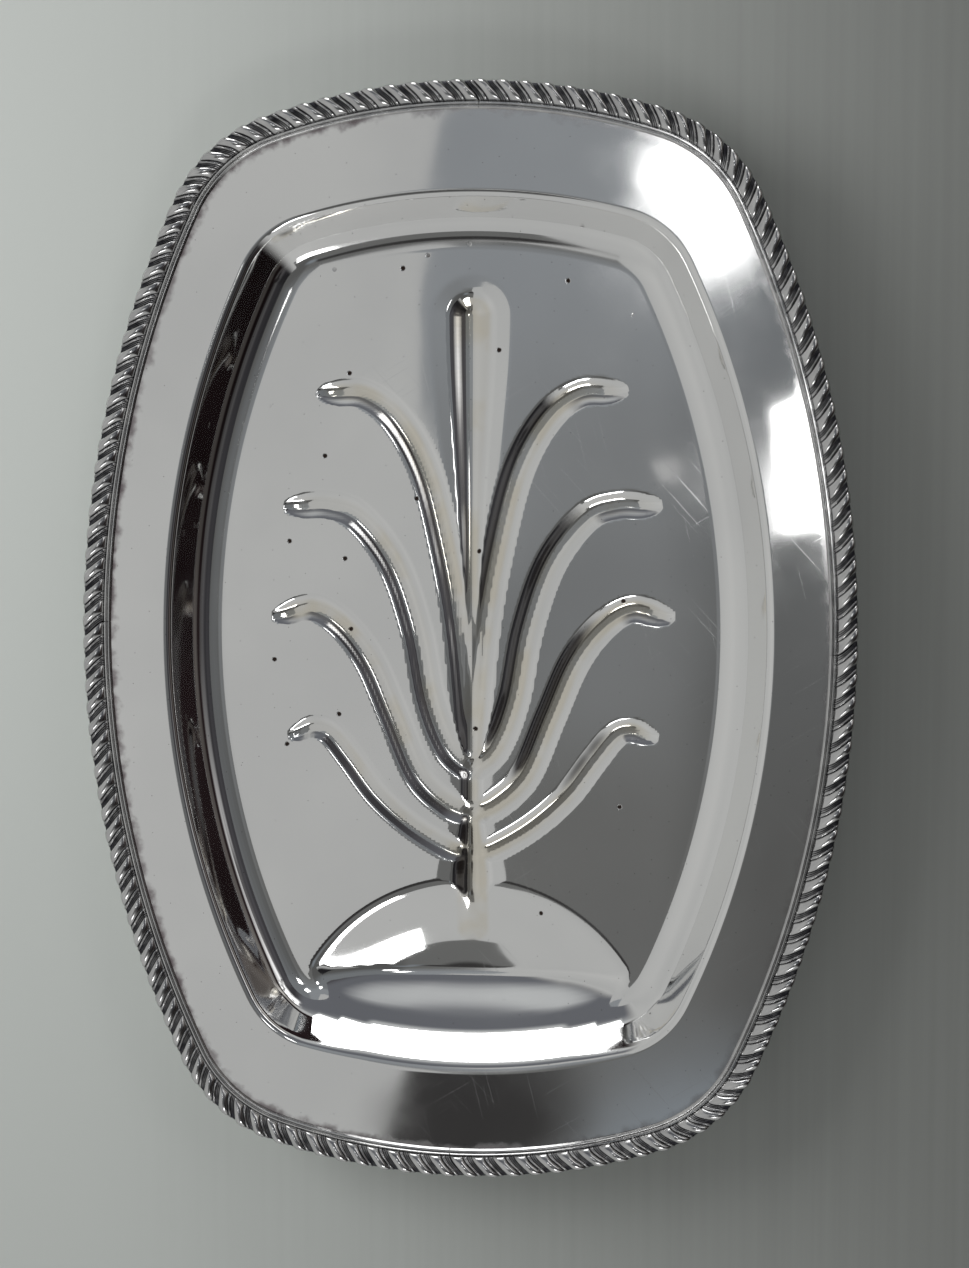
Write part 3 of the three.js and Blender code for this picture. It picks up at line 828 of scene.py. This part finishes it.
def border_rows():
    """Section of the border as inset, foot, rise, arch and lean, from the skirt up over the
    gadroons and reeds and back along the underside."""
    rows = [(SKIRT_INSET, -SHEET, 0, 0, 0)]
    for turn in np.linspace(0, math.pi, DOME_STEPS + 1):
        inset = GADROON_WIDTH * ((1 - math.cos(turn)) / 2) ** CREST_SKEW
        rows.append((inset, DOME_FOOT, GADROON_HEIGHT - DOME_FOOT, math.sin(turn), math.cos(turn)))
    rows.append((GADROON_WIDTH + GROOVE_STEP, GROOVE_HEIGHT, 0, 0, 0))
    for reed in REEDS:
        for turn in np.linspace(0, math.pi, REED_STEPS + 1):
            inset = reed.inset - reed.half_width * math.cos(turn)
            rise = (reed.top - GROOVE_HEIGHT) * math.sin(turn)
            rows.append((inset, GROOVE_HEIGHT + rise, 0, 0, 0))
    rows.append((BORDER_WIDTH, SOLDER_FILM, 0, 0, 0))
    rows.append((REBATE, SOLDER_FILM, 0, 0, 0))
    rows.append((REBATE, -SHEET, 0, 0, 0))
    return np.array(rows)


def make_border(name, quarter):
    """One length of border. Each row runs ahead of the row outside it, so the lobes slant."""
    total = outline_length(TRAY) / 4
    pitch = (total - BORDER_JOINT_GAP) / LOBES_PER_LENGTH
    lobes = lobe_columns()
    places = (np.arange(LOBES_PER_LENGTH)[:, None] + lobes[:, 0]).ravel()
    places = np.r_[places, LOBES_PER_LENGTH][:, None] * pitch
    places = places + quarter * total + BORDER_JOINT_GAP / 2
    outer = np.r_[np.tile(lobes[:, 1], LOBES_PER_LENGTH), 0][:, None]
    inner = np.r_[np.tile(lobes[:, 2], LOBES_PER_LENGTH), 0][:, None]
    inset, foot, rise, arch, lean = border_rows().T
    share = np.clip(inset / GADROON_WIDTH, 0, 1)
    swell = outer + (inner - outer) * share
    sink = LOBE_DEPTH / (GADROON_HEIGHT - DOME_FOOT)
    height = RIM_HEIGHT + foot + rise * arch * (1 - sink * (1 - swell))
    inwards = inset + BULGE_SINK * np.maximum(lean, 0) * (1 - swell)
    curl = TWIST_CURL * share * share * (3 - 2 * share) + (1 - TWIST_CURL) * share
    x, y = points_along(TRAY, places - GADROON_TWIST * curl, inwards)
    count, rows = x.shape
    points = np.stack([x, y, height], axis=2).reshape(-1, 3)
    hollow = np.where(arch > 0, 1 - swell, 0) + np.zeros((count, rows))
    groove_row = DOME_STEPS + 2
    # The groove is blackened in full: tarnish and painted shade in the groove.
    hollow[:, groove_row] = 1
    index = np.arange(count * rows).reshape(count, rows)
    onward = np.roll(index, -1, axis=1)
    faces = np.stack([index[:-1], index[1:], onward[1:], onward[:-1]], axis=2).reshape(-1, 4)
    faces = [*faces.tolist(), index[0].tolist(), index[-1][::-1].tolist()]
    border = make_mesh(name, points, faces, values={"hollow": hollow.ravel()})
    border.data.set_sharp_from_angle(angle=BORDER_SHARP_ANGLE)
    return border


# Facets of a foot
FOOT_SECTORS = 64
BUN_STEPS = 24
FOOT_SHARP_ANGLE = math.radians(35)


def make_foot(name, x, y):
    """Turned bun foot with a soldering flange."""
    neck_top = FOOT_HEIGHT - 2 * FOOT_FLANGE
    bun_top = neck_top - FOOT_FLANGE
    share = np.linspace(0, 1, BUN_STEPS + 1)
    waist = FOOT_NECK_RADIUS + (FOOT_SOLE_RADIUS - FOOT_NECK_RADIUS) * share
    belly = FOOT_RADIUS - (FOOT_NECK_RADIUS + FOOT_SOLE_RADIUS) / 2
    bun = np.c_[waist + belly * np.sin(math.pi * share), bun_top * (1 - share)]
    section = np.r_[
        [(0, FOOT_HEIGHT), (FOOT_FLANGE_RADIUS, FOOT_HEIGHT)],
        [(FOOT_FLANGE_RADIUS, FOOT_HEIGHT - FOOT_FLANGE), (FOOT_NECK_RADIUS, neck_top)],
        bun,
        [(0, 0)],
    ]
    turn = np.arange(FOOT_SECTORS) * 2 * math.pi / FOOT_SECTORS
    px = x + np.cos(turn)[:, None] * section[:, 0]
    py = y + np.sin(turn)[:, None] * section[:, 0]
    pz = np.tile(section[:, 1], (FOOT_SECTORS, 1))
    points = np.stack([px, py, pz], axis=2).reshape(-1, 3)
    index = np.arange(FOOT_SECTORS * len(section)).reshape(FOOT_SECTORS, -1)
    after = np.roll(index, -1, axis=0)
    faces = np.stack([index[:, :-1], index[:, 1:], after[:, 1:], after[:, :-1]], axis=2)
    foot = make_mesh(name, points, faces.reshape(-1, 4).tolist())
    foot.data.set_sharp_from_angle(angle=FOOT_SHARP_ANGLE)
    return foot


# Studio: pale walls all round, with the windows and cards that the silver mirrors. Azimuths run
# from +X towards +Y and elevations up from the table, in degrees.
WORLD_COLOURS = ((0.385, 0.39, 0.388), (0.53, 0.53, 0.522))
WORLD_CLOUD_SCALE = 1.6
DOME = 4000.0
DOME_STEPS_AROUND = 24
DOME_STEPS_UP = 10
WINDOW_DISTANCE = 3600.0
Window = namedtuple("Window", "name azimuth elevation width height radiance")
WINDOWS = (
    Window("north_window", 95, 10.5, 1210, 1600, 4),
    Window("south_window", -74, 52, 1080, 560, 5),
)
TABLE_LAMP_PLACE = (-690, 270, 520)
TABLE_LAMP_SIZE = 500.0
TABLE_LAMP_RADIANCE = 5.0

# Dim side of the room. Its tones change over ranges of the northward, eastward and upward parts
# of a direction.
ROOM_AZIMUTHS = (-55, 128)
ROOM_ELEVATIONS = (-3, 64)
ROOM_DARK = (0.020, 0.013, 0.014)
ROOM_GLOW = (0.13, 0.117, 0.11)
ROOM_GLOW_NORTH = (0.60, 0.58, 0.55)
ROOM_GLOW_NORTHWARD = (0.1, 0.45)
ROOM_GLOW_ELEVATIONS = (17, 30)
ROOM_HIGH = (0.075, 0.073, 0.08)
ROOM_HIGH_ELEVATION = 46
ROOM_BLEND = 0.05
ROOM_WAVE_SCALE = 0.7
ROOM_WAVE = 0.08
ROOM_TONE_SCALE = 1.1
ROOM_TONE_NOISE = (0.35, 0.65)
ROOM_TONES = (0.55, 1)
ROOM_SOUTHWARD = (-0.4, 0.15)
ROOM_SOUTH_TONES = (0.35, 1)
ROOM_NORTH_LOW = (0.47, 0.48, 0.485)
ROOM_NORTH_HIGH = (0.13, 0.135, 0.15)
ROOM_NORTH_NORTHWARD = (0.80, 0.96)
ROOM_NORTH_UPWARD = (0.22, 0.36)
ROOM_NORTH_TONES_UPWARD = (0.45, 0.75)
ROOM_LIGHT = (1.7, 1.7, 1.7)
ROOM_LIGHT_ELEVATIONS = (36, 41, 46, 53)
ROOM_LIGHT_NORTHWARD = (-0.1, 0.45)
ROOM_LIGHT_SHARES = (0.03, 1)
ROOM_LIGHT_NORTH_END = (0.84, 0.94)
ROOM_LIGHT_EASTWARD = (0.1, 0.3)
ROOM_LIGHT_SCALE = 1.9
ROOM_LIGHT_NOISE = (0.38, 0.56)
ROOM_LIGHT_GAPS = (0.12, 1)
ROOM_SOUTH_END = (-0.82, -0.64)
ROOM_NORTH_END = (-0.6, -0.3)

# Ceiling, with panes just under it. Ranges of its axes are in metres.
Pane = namedtuple("Pane", "name corners radiance")
CEILING_PANES = (
    Pane(
        "ceiling_pane_a",
        ((40, 872), (110, 792), (205, 640), (318, 745), (475, 955), (300, 1140)),
        4,
    ),
    Pane("ceiling_pane_b", ((314, 318), (352, 30), (656, 40), (656, 420), (469, 390)), 4),
    Pane("ceiling_pane_c", ((110, 215), (200, 220), (215, 150), (145, 165)), 0.45),
)
PANE_DROP = 10.0
CEILING_CORNERS = (
    (2300, -2900), (2300, 2200), (-300, 2200), (-425, 1105), (-500, 620), (-480, 350),
    (-385, 100), (-385, -900), (-606, -1597), (-738, -2900),
)
CEILING_COLOURS = ((0.135, 0.136, 0.134), (0.25, 0.265, 0.28))
CEILING_CLOUD_SCALE = 1.3
CEILING_NORTHWARD = (-0.3, 1.3)
CEILING_EASTWARD = (0.1, 0.35)
CEILING_SHADES = (1, 0.70)
Spot = namedtuple("Spot", "x y inner outer colour")
CEILING_SPOTS = (
    Spot(190, -1567, 60, 420, (0.20, 0.22, 0.24)),
    Spot(-380, -1447, 180, 400, (0.036, 0.035, 0.035)),
)

# Table top
FLOOR_REACH = 15000.0
# Colours of the table from left to right: the darker right is painted shade, a painted falloff of
# the light.
FLOOR_PAINTED_FALLOFF_COLOURS = ((0.55, 0.575, 0.55), (0.19, 0.195, 0.185))
FLOOR_PAINTED_FALLOFF_ACROSS = (-0.1, 0.42)
FLOOR_CLOUD_SCALE = 3
FLOOR_CLOUD_REACH = 0.1
FLOOR_GRAIN_STRETCH = (0.004, 0.3, 1)
FLOOR_GRAIN_REACH = 0.05
FLOOR_ROUGHNESS = 0.8
FLOOR_SPECULAR = 0.1
BLACK = (0.0, 0.0, 0.0)


def direction(azimuth, elevation):
    azimuth, elevation = math.radians(azimuth), math.radians(elevation)
    level = math.cos(elevation)
    return Vector((level * math.cos(azimuth), level * math.sin(azimuth), math.sin(elevation)))


def add_lamp(name, place, width, height, radiance):
    """Area lamp that faces the middle of the table."""
    lamp = bpy.data.lights.new(name, "AREA")
    lamp.shape = "RECTANGLE"
    lamp.size, lamp.size_y = width * MM, height * MM
    lamp.energy = radiance * math.pi * lamp.size * lamp.size_y
    place = Vector(place) * MM
    back = place.normalized()
    right = Vector((0, 0, 1)).cross(back).normalized()
    turn = Matrix((right, back.cross(right), back)).transposed()
    obj = bpy.data.objects.new(name, lamp)
    obj.matrix_world = Matrix.Translation(place) @ turn.to_4x4()
    obj.visible_camera = False
    bpy.context.collection.objects.link(obj)
    return obj


def add_card(name, points, faces, material):
    """Mesh round the object."""
    mesh = bpy.data.meshes.new(name)
    mesh.from_pydata([Vector(point) * MM for point in points], [], faces)
    mesh.materials.append(material)
    card = bpy.data.objects.new(name, mesh)
    bpy.context.collection.objects.link(card)
    return card


def add_mirrored_card(name, points, faces, material):
    """Card that the silver mirrors and the camera doesn't see."""
    add_card(name, points, faces, material).visible_camera = False


def floor_material():
    """Pale table top with a faint grain, darker towards the right as painted shade: a painted
    falloff of the light across the table.
    """
    surface = Surface("floor")
    split = surface.add("ShaderNodeSeparateXYZ", {"Vector": surface.place})
    clouds = surface.times(surface.noise(FLOOR_CLOUD_SCALE), FLOOR_CLOUD_REACH)
    grain = surface.times(surface.noise(1, 2, FLOOR_GRAIN_STRETCH), FLOOR_GRAIN_REACH)
    across = surface.plus(surface.plus(split.outputs["X"], clouds), grain)
    # Painted shade: the table's colour darkens towards the right.
    colour = surface.mix(surface.share(across, *FLOOR_PAINTED_FALLOFF_ACROSS), *FLOOR_PAINTED_FALLOFF_COLOURS)
    surface.set(surface.shader.inputs["Base Color"], colour)
    surface.shader.inputs["Roughness"].default_value = FLOOR_ROUGHNESS
    surface.shader.inputs["Specular IOR Level"].default_value = FLOOR_SPECULAR
    return surface.material


def add_floor():
    signs = ((-1, -1), (1, -1), (1, 1), (-1, 1))
    corners = [(x * FLOOR_REACH, y * FLOOR_REACH, 0) for x, y in signs]
    add_card("floor", corners, [range(len(corners))], floor_material())


def room_colour(surface, up, north):
    """Dark low down, glowing above that, dim higher up and blue-grey towards the north."""
    wave = surface.plus(surface.noise(ROOM_WAVE_SCALE, 1), -NOISE_MIDDLE)
    rise = surface.plus(up, surface.times(wave, ROOM_WAVE))
    low, end = (math.sin(math.radians(angle)) for angle in ROOM_GLOW_ELEVATIONS)
    high = math.sin(math.radians(ROOM_HIGH_ELEVATION))
    glow = surface.share(rise, low - ROOM_BLEND, low + ROOM_BLEND)
    glow = surface.times(glow, surface.share(rise, end - ROOM_BLEND, end + ROOM_BLEND, 1, 0))
    glow_tone = surface.share(north, *ROOM_GLOW_NORTHWARD)
    colour = surface.mix(glow, ROOM_DARK, surface.mix(glow_tone, ROOM_GLOW, ROOM_GLOW_NORTH))
    above = surface.share(rise, high - 2 * ROOM_BLEND, high + 2 * ROOM_BLEND)
    colour = surface.mix(above, colour, ROOM_HIGH)
    tone = surface.share(surface.noise(ROOM_TONE_SCALE), *ROOM_TONE_NOISE, *ROOM_TONES)
    tone = surface.times(tone, surface.share(north, *ROOM_SOUTHWARD, *ROOM_SOUTH_TONES))
    colour = surface.mix(tone, BLACK, colour)
    blue = surface.share(north, *ROOM_NORTH_NORTHWARD)
    blue = surface.times(blue, surface.share(rise, *ROOM_NORTH_UPWARD))
    blue_tone = surface.share(rise, *ROOM_NORTH_TONES_UPWARD)
    return surface.mix(blue, colour, surface.mix(blue_tone, ROOM_NORTH_LOW, ROOM_NORTH_HIGH))


def room_light(surface, up, north, east):
    """Broken strip of light under the ceiling, as a share."""
    ends = [math.sin(math.radians(angle)) for angle in ROOM_LIGHT_ELEVATIONS]
    parts = (
        surface.share(up, *ends[2:], 1, 0),
        surface.share(north, *ROOM_LIGHT_NORTHWARD, *ROOM_LIGHT_SHARES),
        surface.share(north, *ROOM_LIGHT_NORTH_END, 1, 0),
        surface.share(east, *ROOM_LIGHT_EASTWARD),
        surface.share(surface.noise(ROOM_LIGHT_SCALE), *ROOM_LIGHT_NOISE, *ROOM_LIGHT_GAPS),
    )
    strip = surface.share(up, *ends[:2])
    for part in parts:
        strip = surface.times(strip, part)
    return strip


def room_material():
    """Dim side of the room with its strip of light, fading into the pale wall at both ends."""
    surface = Surface("room")
    facing = surface.add("ShaderNodeVectorMath", {0: surface.place}, operation="NORMALIZE")
    split = surface.add("ShaderNodeSeparateXYZ", {"Vector": facing.outputs["Vector"]})
    up = split.outputs["Z"]
    plan = {0: surface.place, 1: (1, 1, 0)}
    level = surface.add("ShaderNodeVectorMath", plan, operation="MULTIPLY").outputs["Vector"]
    level = surface.add("ShaderNodeVectorMath", {0: level}, operation="NORMALIZE").outputs["Vector"]
    round_room = surface.add("ShaderNodeSeparateXYZ", {"Vector": level})
    east, north = round_room.outputs["X"], round_room.outputs["Y"]
    colour = room_colour(surface, up, north)
    colour = surface.mix(room_light(surface, up, north, east), colour, ROOM_LIGHT)
    south_end = surface.share(north, *ROOM_SOUTH_END, 1, 0)
    north_end = surface.share(east, *ROOM_NORTH_END, 1, 0)
    wall = tuple((low + high) / 2 for low, high in zip(*WORLD_COLOURS))
    return surface.emit(surface.mix(surface.math("MAXIMUM", south_end, north_end), colour, wall))


def add_room():
    """Dim side of the room, on a dome round the platter."""
    points, faces = [], []
    azimuths = np.linspace(*ROOM_AZIMUTHS, DOME_STEPS_AROUND + 1)
    elevations = np.linspace(*ROOM_ELEVATIONS, DOME_STEPS_UP + 1)
    for azimuth in azimuths:
        points += [direction(azimuth, elevation) * DOME for elevation in elevations]
    for step in range(DOME_STEPS_AROUND):
        for level in range(DOME_STEPS_UP):
            corner = step * (DOME_STEPS_UP + 1) + level
            after = corner + DOME_STEPS_UP + 1
            faces.append((corner, after, after + 1, corner + 1))
    add_mirrored_card("room", points, faces, room_material())


def ceiling_material():
    """Ceiling that brightens towards the window wall, with a dim and a hazy spot over the well."""
    surface = Surface("ceiling")
    split = surface.add("ShaderNodeSeparateXYZ", {"Vector": surface.place})
    lifted = surface.plus(split.outputs["Y"], surface.noise(CEILING_CLOUD_SCALE, 1))
    colour = surface.mix(surface.share(lifted, *CEILING_NORTHWARD), *CEILING_COLOURS)
    shade = surface.share(split.outputs["X"], *CEILING_EASTWARD, *CEILING_SHADES)
    colour = surface.mix(shade, BLACK, colour)
    for spot in CEILING_SPOTS:
        ends = {0: surface.place, 1: (spot.x * MM, spot.y * MM, DOME * MM)}
        away = surface.add("ShaderNodeVectorMath", ends, operation="DISTANCE").outputs["Value"]
        near = surface.share(away, spot.inner * MM, spot.outer * MM, 1, 0)
        colour = surface.mix(near, colour, spot.colour)
    return surface.emit(colour)


def add_ceiling():
    """Ceiling and the panes under it."""
    corners = [(x, y, DOME) for x, y in CEILING_CORNERS]
    add_mirrored_card("ceiling", corners, [range(len(corners))], ceiling_material())
    for pane in CEILING_PANES:
        corners = [(x, y, DOME - PANE_DROP) for x, y in pane.corners]
        bright = Surface(pane.name).emit((*[pane.radiance] * 3, 1))
        add_mirrored_card(pane.name, corners, [range(len(corners))], bright)


def make_world():
    """Pale walls with soft clouds."""
    world = bpy.data.worlds.new("studio")
    world.use_nodes = True
    nodes, links = world.node_tree.nodes, world.node_tree.links
    clouds = nodes.new("ShaderNodeTexNoise")
    clouds.inputs["Scale"].default_value = WORLD_CLOUD_SCALE
    clouds.inputs["Detail"].default_value = 1
    tones = nodes.new("ShaderNodeMix")
    tones.data_type = "RGBA"
    tones.inputs[MIX_FIRST].default_value = (*WORLD_COLOURS[0], 1)
    tones.inputs[MIX_SECOND].default_value = (*WORLD_COLOURS[1], 1)
    links.new(nodes.new("ShaderNodeTexCoord").outputs["Generated"], clouds.inputs["Vector"])
    links.new(clouds.outputs["Fac"], tones.inputs["Factor"])
    links.new(tones.outputs[MIX_RESULT], nodes["Background"].inputs["Color"])
    bpy.context.scene.world = world


def make_studio():
    make_world()
    add_room()
    add_ceiling()
    for window in WINDOWS:
        place = direction(window.azimuth, window.elevation) * WINDOW_DISTANCE
        add_lamp(window.name, place, window.width, window.height, window.radiance)
    sides = (TABLE_LAMP_SIZE, TABLE_LAMP_SIZE)
    add_lamp("table_lamp", TABLE_LAMP_PLACE, *sides, TABLE_LAMP_RADIANCE).visible_glossy = False
    add_floor()


make_studio()
make_camera()
body = make_body()
body.data.materials.append(polished_silver())
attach(body, "root")
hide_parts("platter_body")

border_material = border_silver()
BORDER_NODES = ("border_head_right", "border_head_left", "border_well_left", "border_well_right")
for quarter, node in enumerate(BORDER_NODES):
    border = make_border("gadroon_" + node.removeprefix("border_"), quarter)
    border.data.materials.append(border_material)
    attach(border, "root")
    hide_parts(node)

foot_material = foot_silver()
for node in ("foot_head_left", "foot_head_right", "foot_well_left", "foot_well_right"):
    low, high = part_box(node)
    foot = make_foot("bun_" + node, (low[0] + high[0]) / 2 / MM, (low[1] + high[1]) / 2 / MM)
    foot.data.materials.append(foot_material)
    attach(foot, "root")
    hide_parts(node)

bpy.context.scene.view_settings.view_transform = "Standard"
